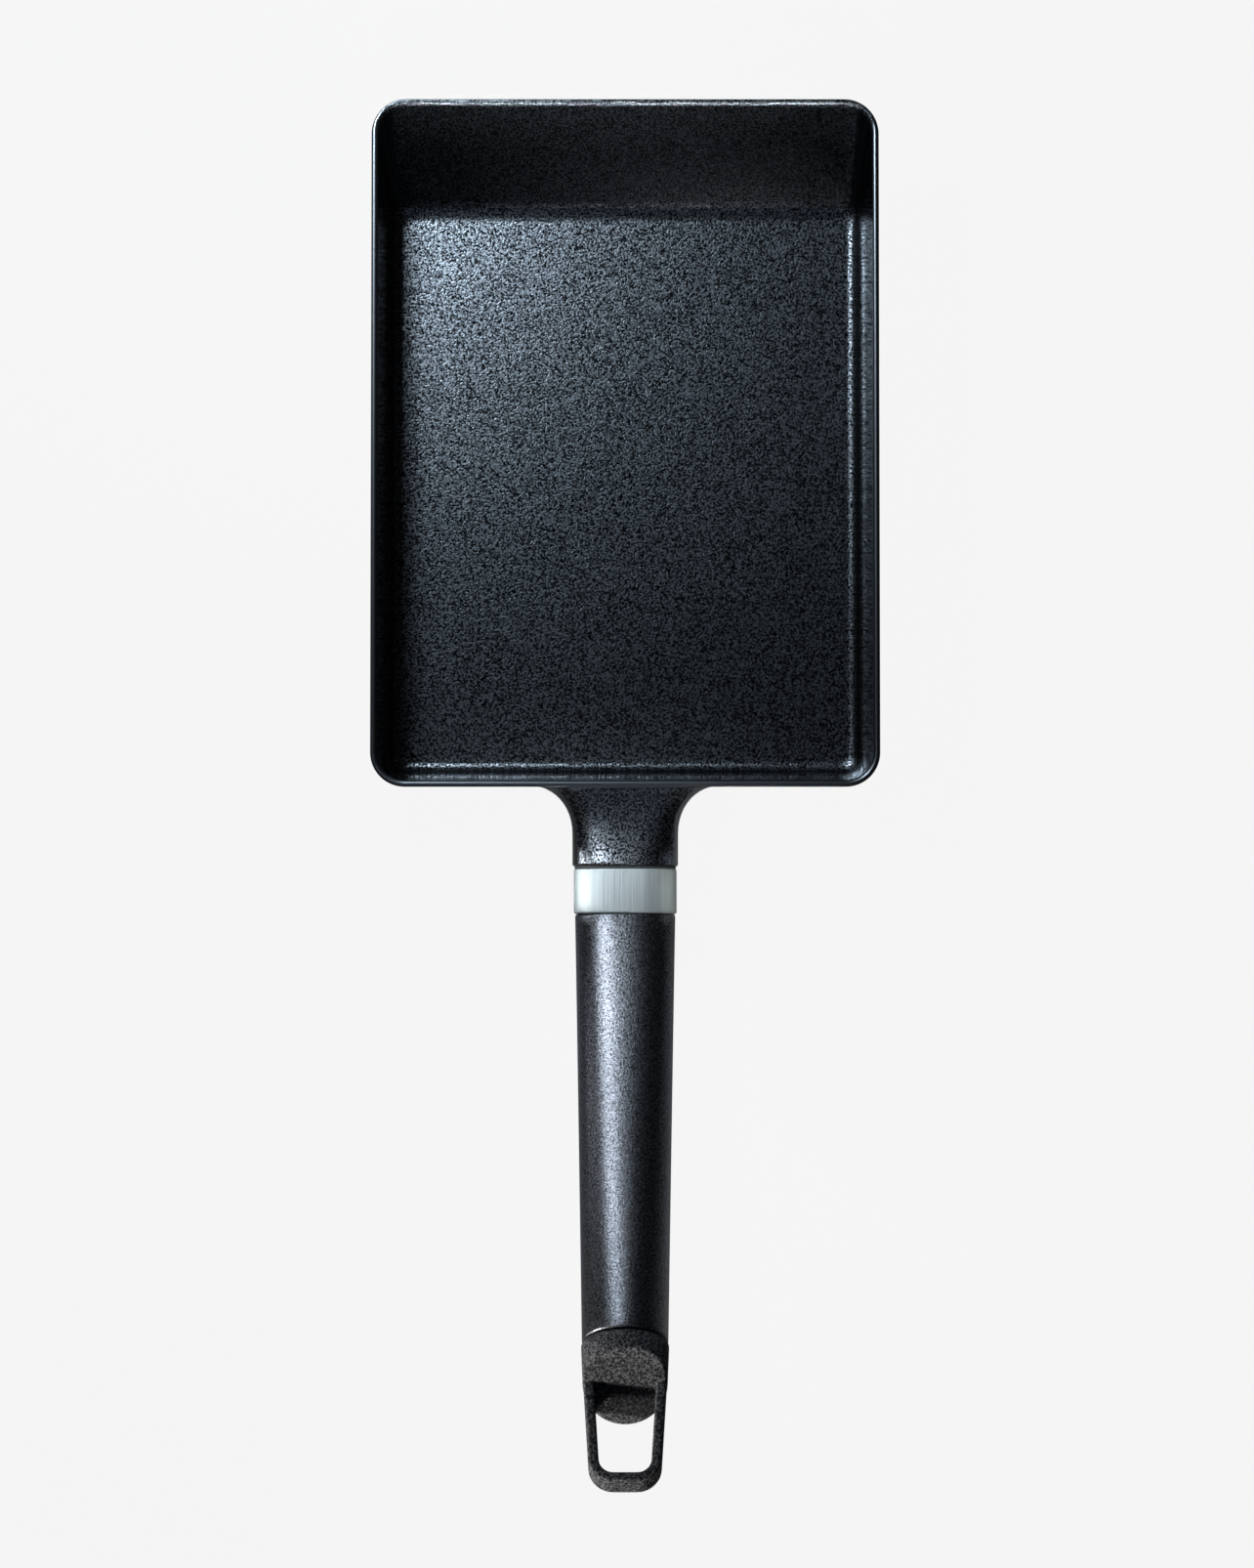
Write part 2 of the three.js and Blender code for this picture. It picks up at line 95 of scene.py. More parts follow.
def labelSelected(piece, label):
    group = piece.vertex_groups.new(name=label)
    piece.vertex_groups.active_index = group.index
    bpy.ops.object.vertex_group_assign()
    bpy.ops.mesh.delete(type="ONLY_FACE")


def selectLabels(piece, labels):
    bpy.ops.mesh.select_all(action="DESELECT")
    for label in labels:
        piece.vertex_groups.active_index = piece.vertex_groups[label].index
        bpy.ops.object.vertex_group_select()


def addRectangle(piece, label, right, front, back, corner, height, steps):
    # a level outline with round corners; a plane of size 2 is resized by half lengths
    middle = (0, (front + back) / 2, height)
    bpy.ops.mesh.primitive_plane_add(size=2, location=middle)
    bpy.ops.transform.resize(value=(right, (back - front) / 2, 1), center_override=middle)
    bpy.ops.mesh.bevel(offset=corner, segments=steps, affect="VERTICES",
                       profile=shaping["roundProfile"], clamp_overlap=False)
    labelSelected(piece, label)


def settleUnder(piece, squareness):
    # draws the lower part of a selected flat outline in to its own squareness
    mesh = bmesh.from_edit_mesh(piece.data)
    for vertex in mesh.verts:
        if vertex.select and vertex.co.y < 0:
            reach = abs(vertex.co.x) ** squareness + abs(vertex.co.y) ** squareness
            vertex.co *= reach ** (-1 / squareness)
    bmesh.update_edit_mesh(piece.data)


def addOval(piece, label, place, tilt, halfWidth, halfHeight, squareness, steps, underSquareness=None):
    # an upright outline across the handle: squareness 2 is an ellipse, higher is boxier.
    # Each corner takes half of both its edges, so that the bevels meet.
    bpy.ops.mesh.primitive_plane_add(size=2)
    bpy.ops.mesh.bevel(offset_pct=50, offset_type="PERCENT", segments=steps, affect="VERTICES",
                       profile=2 ** (-2 / squareness), clamp_overlap=False)
    bpy.ops.mesh.remove_doubles(threshold=shaping["mergeDistance"])
    if underSquareness is not None:
        settleUnder(piece, underSquareness)
    bpy.ops.transform.resize(value=(halfWidth, halfHeight, 1), center_override=(0, 0, 0))
    bpy.ops.transform.rotate(value=tilt - math.pi / 2, orient_axis="X", center_override=(0, 0, 0))
    bpy.ops.transform.translate(value=place)
    labelSelected(piece, label)


def bridgeInTurn(piece, labels, ring=False):
    pairs = list(zip(labels, labels[1:]))
    if ring:
        pairs.append((labels[-1], labels[0]))
    for pair in pairs:
        selectLabels(piece, pair)
        bpy.ops.mesh.bridge_edge_loops()


def closeEnds(piece, labels):
    for label in labels:
        selectLabels(piece, [label])
        bpy.ops.mesh.edge_face_add()


def finishPiece(piece, smoothAngle=shaping["smoothAngle"]):
    bpy.ops.mesh.select_all(action="SELECT")
    bpy.ops.mesh.normals_make_consistent(inside=False)
    bpy.ops.object.mode_set(mode="OBJECT")
    piece.vertex_groups.clear()
    bpy.ops.object.shade_smooth_by_angle(angle=smoothAngle)


def selectOnly(piece):
    bpy.ops.object.select_all(action="DESELECT")
    piece.select_set(True)
    bpy.context.view_layer.objects.active = piece


def applyModifier(piece, modifier):
    selectOnly(piece)
    bpy.ops.object.modifier_apply(modifier=modifier.name)


def cutOrJoin(piece, other, operation):
    modifier = piece.modifiers.new(operation.lower(), "BOOLEAN")
    modifier.operation = operation
    modifier.solver = "EXACT"
    modifier.object = other
    applyModifier(piece, modifier)
    bpy.data.objects.remove(other)


def settleNormals(piece):
    # large flat faces keep their own shading beside small rounded ones
    selectOnly(piece)
    bpy.ops.object.shade_smooth_by_angle(angle=shaping["smoothAngle"])
    modifier = piece.modifiers.new("settle", "WEIGHTED_NORMAL")
    modifier.keep_sharp = True
    modifier.weight = shaping["flatWeight"]
    applyModifier(piece, modifier)


def quarterTurn(steps):
    # the angles of a quarter circle in equal steps, both ends included
    return [step / steps * math.pi / 2 for step in range(steps + 1)]


def mix(start, end, share):
    return start + (end - start) * share


def smoothStep(share):
    return share * share * (3 - 2 * share)


# the pan: a floor, walls that lean out with a fillet at their foot, and a round lip

pan = dict(
    rimLength=0.189,
    rimWidth=0.139,
    rimCorner=0.0095,
    floorCorner=0.0035,
    wall=0.0018,
    floor=0.0035,
    sideLean=math.radians(5.8),
    nearLean=math.radians(7.9),
    farLean=math.radians(37.5),
    sideFillet=0.003,
    nearFillet=0.003,
    farFillet=0.007,
    cornerSteps=14,
    filletSteps=14,
    lipSteps=6,
)
rimHalfLength = pan["rimLength"] / 2
rimHalfWidth = pan["rimWidth"] / 2


def wallRun(lean, fillet, rise):
    # how far the wall's face lies inside its top edge at a height, with the fillet at its foot
    tangentHeight = fillet * (1 - math.sin(lean))
    centreRun = (rise - tangentHeight) * math.tan(lean) + fillet * math.cos(lean)

    def run(height):
        if height >= tangentHeight:
            return (rise - height) * math.tan(lean)
        return centreRun - math.sqrt(fillet ** 2 - (fillet - height) ** 2)
    return run


def wallOutlines(inset, growth, foot):
    # outlines from the foot of the walls to just under the lip, and a function for one more
    rise = panHeight - foot
    side = wallRun(pan["sideLean"], pan["sideFillet"] + growth, rise)
    near = wallRun(pan["nearLean"], pan["nearFillet"] + growth, rise)
    far = wallRun(pan["farLean"], pan["farFillet"] + growth, rise)
    footCorner = pan["floorCorner"] + growth
    topCorner = pan["rimCorner"] - inset

    def outline(height, lip):
        share = height / rise
        return dict(
            right=rimHalfWidth - inset - side(height) - lip,
            front=-rimHalfLength + inset + near(height) + lip,
            back=rimHalfLength - inset - far(height) - lip,
            corner=footCorner + (topCorner - footCorner) * share - lip,
            height=foot + height,
        )
    filletTop = pan["farFillet"] + growth
    outlines = []
    for angle in quarterTurn(pan["filletSteps"]):
        outlines.append(outline(filletTop * (1 - math.cos(angle)), 0))
    return outlines, outline, rise


def makeBowl():
    piece = startPiece("pan_bowl")
    inner, innerAt, innerRise = wallOutlines(pan["wall"], 0, pan["floor"])
    outer, outerAt, outerRise = wallOutlines(0, pan["wall"], 0)
    lip = pan["wall"] / 2
    for angle in quarterTurn(pan["lipSteps"])[:-1]:
        drop = lip * (1 - math.sin(angle))
        draw = lip * (1 - math.cos(angle))
        inner.append(innerAt(innerRise - drop, -draw))
        outer.append(outerAt(outerRise - drop, draw))
    chain = inner + [outerAt(outerRise, lip)] + outer[::-1]
    labels = []
    for number, shape in enumerate(chain):
        labels.append(f"level{number}")
        addRectangle(piece, labels[-1], steps=pan["cornerSteps"], **shape)
    bridgeInTurn(piece, labels)
    closeEnds(piece, [labels[0], labels[-1]])
    finishPiece(piece)
    return piece


# the handle's centre line: level to the grip, swept up along it, straight after it

sweep = dict(
    length=0.1202,
    endTilt=math.radians(27),
)
sweepRadius = sweep["length"] / sweep["endTilt"]


def centreLine(distance):
    # distance is measured from where the grip starts
    along = min(max(distance, 0), sweep["length"])
    tilt = along / sweepRadius
    out = Vector((0, -math.cos(tilt), math.sin(tilt)))
    rise = sweepRadius * (1 - math.cos(tilt))
    point = Vector((0, gripStartY - sweepRadius * math.sin(tilt), handleZ + rise))
    return point + out * (distance - along), tilt


# the neck, cast with the pan: its root lies on the near wall and flares into it

neck = dict(
    halfWidth=0.0145,
    halfHeight=0.0112,
    flare=0.012,
    rimDrop=0.00005,
    rootBottom=0.008,
    rootSquareness=6,
    endSquareness=2.9,
    edge=0.0006,
    edgeSteps=3,
    flareSteps=12,
    shankSteps=5,
    ovalSteps=12,
)
neckLength = -rimHalfLength - neckEndY


def addNeckSection(piece, label, fromWall, lean, edge):
    flareLeft = max(neck["flare"] - max(fromWall, 0), 0)
    halfWidth = neck["halfWidth"] + neck["flare"] - math.sqrt(neck["flare"] ** 2 - flareLeft ** 2)
    ease = smoothStep(max(fromWall, 0) / neckLength)
    settle = 1 - (1 - max(fromWall, 0) / neckLength) ** 2
    top = mix(panHeight - neck["rimDrop"], handleZ + neck["halfHeight"], settle)
    bottom = mix(neck["rootBottom"], handleZ - neck["halfHeight"], ease)
    squareness = mix(neck["rootSquareness"], neck["endSquareness"], ease)
    middle = (top + bottom) / 2
    back = (panHeight - middle) * math.tan(lean)
    place = (0, -rimHalfLength - fromWall + back, middle)
    halfHeight = (top - bottom) / 2 / math.cos(lean) - edge
    addOval(piece, label, place, -lean, halfWidth - edge, halfHeight, squareness, neck["ovalSteps"])


def makeNeck():
    piece = startPiece("pan_neck")
    stations = [(-pan["wall"] / 2, 1, 0)]
    for angle in quarterTurn(neck["flareSteps"]):
        fromWall = neck["flare"] * (1 - math.cos(angle))
        stations.append((fromWall, 1 - fromWall / neck["flare"], 0))
    edgeStart = neckLength - neck["edge"]
    for step in range(1, neck["shankSteps"] + 1):
        fromWall = neck["flare"] + (edgeStart - neck["flare"]) * step / neck["shankSteps"]
        stations.append((fromWall, 0, 0))
    for angle in quarterTurn(neck["edgeSteps"])[1:]:
        fromWall = edgeStart + neck["edge"] * math.sin(angle)
        stations.append((fromWall, 0, neck["edge"] * (1 - math.cos(angle))))
    labels = []
    for number, (fromWall, leanShare, edge) in enumerate(stations):
        labels.append(f"station{number}")
        addNeckSection(piece, labels[-1], fromWall, pan["nearLean"] * leanShare, edge)
    bridgeInTurn(piece, labels)
    closeEnds(piece, [labels[0], labels[-1]])
    finishPiece(piece)
    return piece


panBody = makeBowl()
cutOrJoin(panBody, makeNeck(), "UNION")
panBody.name = "pan_casting"
settleNormals(panBody)
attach(panBody, "root")
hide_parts("pan_body")
print("pan and neck modelled:", len(panBody.data.polygons), "faces")


# the ferrule: a steel sleeve with small bevels

ferrule = dict(
    wall=0.0012,
    bevel=0.0005,
    bevelSteps=3,
    squareness=2.9,
    ovalSteps=16,
    smoothAngle=math.radians(60),
)


def makeFerrule():
    piece = startPiece("ferrule_sleeve")
    halfWidth = ferruleHigh.x
    halfHeight = (ferruleHigh.z - ferruleLow.z) / 2
    start = ferruleHigh.y
    end = ferruleLow.y
    bevel = ferrule["bevel"]
    stations = [(start, ferrule["wall"])]
    for angle in quarterTurn(ferrule["bevelSteps"]):
        stations.append((start - bevel * (1 - math.cos(angle)), bevel * (1 - math.sin(angle))))
    for angle in quarterTurn(ferrule["bevelSteps"]):
        stations.append((end + bevel * (1 - math.sin(angle)), bevel * (1 - math.cos(angle))))
    stations.append((end, ferrule["wall"]))
    labels = []
    for number, (along, inset) in enumerate(stations):
        labels.append(f"station{number}")
        addOval(piece, labels[-1], (0, along, handleZ), 0, halfWidth - inset, halfHeight - inset,
                ferrule["squareness"], ferrule["ovalSteps"])
    bridgeInTurn(piece, labels, ring=True)
    finishPiece(piece, ferrule["smoothAngle"])
    return piece


ferruleSleeve = makeFerrule()
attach(ferruleSleeve, "root")
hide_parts("ferrule")
print("ferrule modelled")


# the grip: an oval bar along the sweep, drawn in towards its end

grip = dict(
    startHalfWidth=0.01375,
    startHalfHeight=0.0107,
    endHalfWidth=0.0116,
    endHalfHeight=0.0115,
    startSquareness=2.5,
    endSquareness=2.0,
    edge=0.0007,
    edgeSteps=4,
    bodySteps=40,
    ovalSteps=16,
)


def addGripSection(piece, label, distance, inset):
    place, tilt = centreLine(distance)
    share = distance / sweep["length"]
    addOval(piece, label, place, tilt,
            mix(grip["startHalfWidth"], grip["endHalfWidth"], share) - inset,
            mix(grip["startHalfHeight"], grip["endHalfHeight"], share) - inset,
            mix(grip["startSquareness"], grip["endSquareness"], share), grip["ovalSteps"])


def makeGrip():
    piece = startPiece("grip_bar")
    edge = grip["edge"]
    end = sweep["length"]
    stations = []
    for angle in quarterTurn(grip["edgeSteps"]):
        stations.append((edge * (1 - math.cos(angle)), edge * (1 - math.sin(angle))))
    for step in range(1, grip["bodySteps"]):
        stations.append((mix(edge, end - edge, step / grip["bodySteps"]), 0))
    for angle in quarterTurn(grip["edgeSteps"]):
        stations.append((end - edge * (1 - math.sin(angle)), edge * (1 - math.cos(angle))))
    labels = []
    for number, (distance, inset) in enumerate(stations):
        labels.append(f"station{number}")
        addGripSection(piece, labels[-1], distance, inset)
    bridgeInTurn(piece, labels)
    closeEnds(piece, [labels[0], labels[-1]])
    finishPiece(piece)
    return piece


gripBar = makeGrip()
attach(gripBar, "root")
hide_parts("grip")
print("grip modelled")


# the end cap: a round body cut off aslant, with the hanging loop in one with it.
# It is modelled level, with the seam at the origin, then tilted and moved to the grip's end.

cap = dict(
    halfWidth=0.01185,
    halfHeight=0.0116,
    taper=0.04,
    squareness=2.7,
    underSquareness=2,
    shoulder=0.004,
    shoulderSteps=4,
    seamGap=0.0005,
    edge=0.0006,
    edgeSteps=4,
    topLength=0.006,
    underLength=0.0195,
    spare=0.004,            # length that the slanted cut takes off again
    slantRound=0.0007,
    slantMatch=0.99,
    ovalSteps=16,
    voxel=0.00024,          # the joined cap and loop are remeshed at this size and smoothed
    smoothing=3,
)
loop = dict(
    root=0.007,
    innerRoot=0.0095,
    length=0.0401,
    drop=0.00225,
    rootHalfWidth=0.0114,
    endHalfWidth=0.0094,
    arm=0.0028,
    bar=0.0027,
    outerCorner=0.0062,
    innerCorner=0.0036,
    cornerSteps=10,
    thickness=0.0085,
    edgeRound=0.0006,
    edgeSteps=3,
    sharpAngle=math.radians(60),
)


def facesFacing(piece, direction, least):
    # selects the faces whose normal lies close to a direction
    bpy.ops.mesh.select_mode(type="FACE")
    bpy.ops.mesh.select_all(action="DESELECT")
    mesh = bmesh.from_edit_mesh(piece.data)
    mesh.normal_update()
    for face in mesh.faces:
        face.select_set(face.normal.dot(direction) > least)
    bmesh.update_edit_mesh(piece.data)


def makeCapBody():
    piece = startPiece("cap_body")
    start = cap["seamGap"]
    edge = cap["edge"]
    stations = []
    for angle in quarterTurn(cap["edgeSteps"]):
        stations.append((start + edge * (1 - math.cos(angle)), edge * (1 - math.sin(angle))))
    for step in range(1, cap["shoulderSteps"] + 1):
        stations.append((mix(start + edge, cap["shoulder"], step / cap["shoulderSteps"]), 0))
    stations.append((cap["underLength"] + cap["spare"], 0))
    labels = []
    for number, (along, inset) in enumerate(stations):
        labels.append(f"station{number}")
        slim = cap["taper"] * along + inset
        boxier = smoothStep(min(along / cap["shoulder"], 1))
        squareness = mix(cap["underSquareness"], cap["squareness"], boxier)
        addOval(piece, labels[-1], (0, -along, 0), 0, cap["halfWidth"] - slim, cap["halfHeight"] - slim,
                squareness, cap["ovalSteps"], cap["underSquareness"])
    bridgeInTurn(piece, labels)
    closeEnds(piece, [labels[0], labels[-1]])
    bpy.ops.mesh.select_all(action="SELECT")
    bpy.ops.mesh.normals_make_consistent(inside=False)
    slantMiddle = (0, -(cap["topLength"] + cap["underLength"]) / 2, 0)
    slantRun = cap["underLength"] - cap["topLength"]
    slantNormal = Vector((0, -2 * cap["halfHeight"], slantRun)).normalized()
    bpy.ops.mesh.bisect(plane_co=slantMiddle, plane_no=slantNormal, use_fill=True, clear_outer=True)
    facesFacing(piece, slantNormal, cap["slantMatch"])
    bpy.ops.mesh.region_to_loop()
    bpy.ops.mesh.bevel(offset=cap["slantRound"], segments=cap["edgeSteps"], affect="EDGES",
                       profile=shaping["roundProfile"])
    finishPiece(piece)
    return piece


def addFrameOutline(piece, label, root, end, inset, corner):
    # a tapered outline with round corners at its outer end
    def halfWidth(along):
        share = (along - loop["root"]) / (loop["length"] - loop["root"])
        return mix(loop["rootHalfWidth"], loop["endHalfWidth"], share) - inset
    middle = (0, -(root + end) / 2, -loop["thickness"] / 2 - loop["drop"])
    bpy.ops.mesh.primitive_plane_add(size=2, location=middle)
    bpy.ops.transform.resize(value=(halfWidth(root), (end - root) / 2, 1), center_override=middle)
    mesh = bmesh.from_edit_mesh(piece.data)
    for vertex in mesh.verts:
        vertex.select_set(vertex.select and vertex.co.y < middle[1])
    mesh.select_flush_mode()
    bmesh.update_edit_mesh(piece.data)
    bpy.ops.transform.resize(value=(halfWidth(end) / halfWidth(root), 1, 1), center_override=middle)
    bpy.ops.mesh.bevel(offset=corner, segments=loop["cornerSteps"], affect="VERTICES",
                       profile=shaping["roundProfile"])
    bpy.ops.mesh.select_linked()
    labelSelected(piece, label)


def makeLoop():
    piece = startPiece("cap_loop")
    addFrameOutline(piece, "outer", loop["root"], loop["length"], 0, loop["outerCorner"])
    innerEnd = loop["length"] - loop["bar"]
    addFrameOutline(piece, "inner", loop["innerRoot"], innerEnd, loop["arm"], loop["innerCorner"])
    bridgeInTurn(piece, ["outer", "inner"])
    bpy.ops.mesh.select_all(action="SELECT")
    bpy.ops.mesh.extrude_region_move(TRANSFORM_OT_translate={"value": (0, 0, loop["thickness"])})
    bpy.ops.mesh.select_all(action="SELECT")
    bpy.ops.mesh.normals_make_consistent(inside=False)
    bpy.ops.mesh.select_mode(type="EDGE")
    bpy.ops.mesh.select_all(action="DESELECT")
    bpy.ops.mesh.edges_select_sharp(sharpness=loop["sharpAngle"])
    bpy.ops.mesh.bevel(offset=loop["edgeRound"], segments=loop["edgeSteps"], affect="EDGES",
                       profile=shaping["roundProfile"])
    bpy.ops.mesh.select_mode(type="VERT")
    finishPiece(piece)
    return piece


endCap = makeCapBody()
cutOrJoin(endCap, makeLoop(), "UNION")
endCap.name = "cap_with_loop"
castSurface = endCap.modifiers.new("cast surface", "REMESH")
castSurface.mode = "VOXEL"
castSurface.voxel_size = cap["voxel"]
castSurface.use_smooth_shade = True
applyModifier(endCap, castSurface)
softEdges = endCap.modifiers.new("soft edges", "SMOOTH")
softEdges.iterations = cap["smoothing"]
applyModifier(endCap, softEdges)
capPlace, capTilt = centreLine(sweep["length"])
bpy.ops.object.mode_set(mode="EDIT")
bpy.ops.mesh.select_all(action="SELECT")
bpy.ops.transform.rotate(value=capTilt, orient_axis="X", center_override=(0, 0, 0))
bpy.ops.transform.translate(value=capPlace)
bpy.ops.object.mode_set(mode="OBJECT")
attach(endCap, "root")
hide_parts("end_cap")
print("end cap modelled:", len(endCap.data.polygons), "faces")


# materials

noise = dict(
    coarseDetail=1.5,
    fineDetail=2,
    streakDetail=3,
    contrastSpan=(0.25, 0.75),      # the part of the noise that goes from dark to light
    roughSpan=(0.3, 0.7),           # and from sheen to matt
)


def newMaterial(name):
    material = bpy.data.materials.new(name)
    material.use_nodes = True
    return material, material.node_tree.nodes, material.node_tree.links


def dress(piece, material):
    piece.data.materials.clear()
    piece.data.materials.append(material)


def makeGrain():
    # two sizes of cast or moulded grain, mixed into one height
    group = bpy.data.node_groups.new("grain", "ShaderNodeTree")
    group.interface.new_socket("Vector", in_out="INPUT", socket_type="NodeSocketVector")
    for name in ("Coarse", "Fine", "Fine Share"):
        group.interface.new_socket(name, in_out="INPUT", socket_type="NodeSocketFloat")
    group.interface.new_socket("Height", in_out="OUTPUT", socket_type="NodeSocketFloat")
    nodes = group.nodes
    links = group.links
    entry = nodes.new("NodeGroupInput")
    leave = nodes.new("NodeGroupOutput")
    coarse = nodes.new("ShaderNodeTexNoise")
    coarse.inputs["Detail"].default_value = noise["coarseDetail"]
    fine = nodes.new("ShaderNodeTexNoise")
    fine.inputs["Detail"].default_value = noise["fineDetail"]
    blend = nodes.new("ShaderNodeMix")
    links.new(entry.outputs["Vector"], coarse.inputs["Vector"])
    links.new(entry.outputs["Vector"], fine.inputs["Vector"])
    links.new(entry.outputs["Coarse"], coarse.inputs["Scale"])
    links.new(entry.outputs["Fine"], fine.inputs["Scale"])
    links.new(entry.outputs["Fine Share"], blend.inputs["Factor"])
    links.new(coarse.outputs["Fac"], blend.inputs["A"])
    links.new(fine.outputs["Fac"], blend.inputs["B"])
    links.new(blend.outputs["Result"], leave.inputs["Height"])
    return group


grainGroup = makeGrain()


def setOrLink(links, value, socket):
    if isinstance(value, bpy.types.NodeSocket):
        links.new(value, socket)
    else:
        socket.default_value = value


def addGrain(nodes, links, vector, finish):
    grain = nodes.new("ShaderNodeGroup")
    grain.node_tree = grainGroup
    grain.inputs["Coarse"].default_value = finish["coarse"]
    grain.inputs["Fine"].default_value = finish["fine"]
    grain.inputs["Fine Share"].default_value = finish["fineShare"]
    links.new(vector, grain.inputs["Vector"])
    return grain.outputs["Height"]


def addBump(nodes, links, height, finish, shader):
    bump = nodes.new("ShaderNodeBump")
    bump.inputs["Distance"].default_value = finish["depth"]
    bump.inputs["Strength"].default_value = finish["strength"]
    links.new(height, bump.inputs["Height"])
    links.new(bump.outputs["Normal"], shader.inputs["Normal"])


def addRange(nodes, links, value, span, toLow, toHigh):
    # span is in the value's own units; either end of the result may be a socket
    mapped = nodes.new("ShaderNodeMapRange")
    mapped.inputs["From Min"].default_value = span[0]
    mapped.inputs["From Max"].default_value = span[1]
    setOrLink(links, toLow, mapped.inputs["To Min"])
    setOrLink(links, toHigh, mapped.inputs["To Max"])
    links.new(value, mapped.inputs["Value"])
    return mapped.outputs["Result"]


def addProduct(nodes, links, first, second):
    product = nodes.new("ShaderNodeMath")
    product.operation = "MULTIPLY"
    links.new(first, product.inputs[0])
    links.new(second, product.inputs[1])
    return product.outputs[0]


def addTint(nodes, links, factor, first, second):
    # either colour may be a socket
    tint = nodes.new("ShaderNodeMix")
    tint.data_type = "RGBA"
    for letter, colour in (("A", first), ("B", second)):
        if isinstance(colour, tuple):
            colour = (*colour, 1)
        setOrLink(links, colour, tint.inputs[letter])
    links.new(factor, tint.inputs["Factor"])
    return tint.outputs["Result"]


panFinish = dict(
    dark=(0.004, 0.004, 0.005),
    light=(0.19, 0.205, 0.222),
    wall=(0.16, 0.167, 0.175),
    rim=(0.12, 0.126, 0.136),
    coarse=1900,
    fine=3400,
    fineShare=0.25,
    speckle=(0.43, 0.6),               # the part of the grain that goes from dark to light
    depth=0.00013,
    strength=1.0,
    grainedRoughness=0.32,
    wallRoughness=0.09,
    rimRoughness=0.34,
    slopeSpan=(0.48, 0.58),            # upward part of the normal, from steep to level
    rimSpan=(0.0332, 0.0342),          # heights between which the wall turns into the rim
    neckSpan=(-0.0949, -0.0945),       # Y between which the neck's top turns into the near rim
    farLipSpan=(0.0868, 0.0892),       # Y between which the rim turns into its grained far side
)


def makePanCoat():
    # level and sloped faces are grained; the steep walls and the rim, but for its far side, are smooth
    material, nodes, links = newMaterial("pan coat")
    shader = nodes["Principled BSDF"]
    shader.inputs["Metallic"].default_value = 1
    place = nodes.new("ShaderNodeTexCoord")
    facing = nodes.new("ShaderNodeSeparateXYZ")
    links.new(place.outputs["Normal"], facing.inputs["Vector"])
    spot = nodes.new("ShaderNodeSeparateXYZ")
    links.new(place.outputs["Object"], spot.inputs["Vector"])
    level = addRange(nodes, links, facing.outputs["Z"], panFinish["slopeSpan"], 0, 1)
    onNeck = addRange(nodes, links, spot.outputs["Y"], panFinish["neckSpan"], 1, 0)
    offSmoothRim = addRange(nodes, links, spot.outputs["Y"], panFinish["farLipSpan"], onNeck, 1)
    belowRim = addRange(nodes, links, spot.outputs["Z"], panFinish["rimSpan"], 1, offSmoothRim)
    grained = addProduct(nodes, links, level, belowRim)
    height = addGrain(nodes, links, place.outputs["Object"], panFinish)
    addBump(nodes, links, addProduct(nodes, links, height, grained), panFinish, shader)
    smooth = addRange(nodes, links, belowRim, (0, 1),
                      panFinish["rimRoughness"], panFinish["wallRoughness"])
    roughness = addRange(nodes, links, grained, (0, 1), smooth, panFinish["grainedRoughness"])
    links.new(roughness, shader.inputs["Roughness"])
    speckle = addRange(nodes, links, height, panFinish["speckle"], 0, 1)
    speckled = addTint(nodes, links, speckle, panFinish["dark"], panFinish["light"])
    plain = addTint(nodes, links, belowRim, panFinish["rim"], panFinish["wall"])
    colour = addTint(nodes, links, grained, plain, speckled)
    links.new(colour, shader.inputs["Base Color"])
    return material


def makeResin(name, finish):
    # grained all over
    material, nodes, links = newMaterial(name)
    shader = nodes["Principled BSDF"]
    shader.inputs["Metallic"].default_value = finish["metallic"]
    shader.inputs["Specular IOR Level"].default_value = finish["reflection"]
    place = nodes.new("ShaderNodeTexCoord")
    height = addGrain(nodes, links, place.outputs["Object"], finish)
    addBump(nodes, links, height, finish, shader)
    speckle = addRange(nodes, links, height, finish["speckle"], 0, 1)
    colour = addTint(nodes, links, speckle, finish["dark"], finish["light"])
    links.new(colour, shader.inputs["Base Color"])
    roughness = addRange(nodes, links, height, noise["roughSpan"], finish["sheen"], finish["matt"])
    links.new(roughness, shader.inputs["Roughness"])
    return material


gripFinish = dict(
    dark=(0.01, 0.0105, 0.012),
    light=(0.26, 0.265, 0.285),
    coarse=2100,
    fine=3600,
    fineShare=0.25,
    speckle=(0.33, 0.74),
    depth=0.00012,
    strength=1.0,
    sheen=0.32,
    matt=0.38,
    metallic=1.0,
    reflection=0.5,
)
capFinish = dict(
    dark=(0.004, 0.004, 0.0045),
    light=(0.09, 0.09, 0.093),
    coarse=1500,
    fine=2800,
    fineShare=0.25,
    speckle=(0.42, 0.66),
    depth=0.0002,
    strength=1.0,
    sheen=0.65,
    matt=0.8,
    metallic=0.0,
    reflection=0.08,
)
steelFinish = dict(
    dark=(0.23, 0.245, 0.245),
    light=(0.34, 0.365, 0.365),
    streaks=(2600, 30, 2600),
    depth=0.0001,
    strength=1.0,
    smooth=0.58,
    rough=0.72,
)


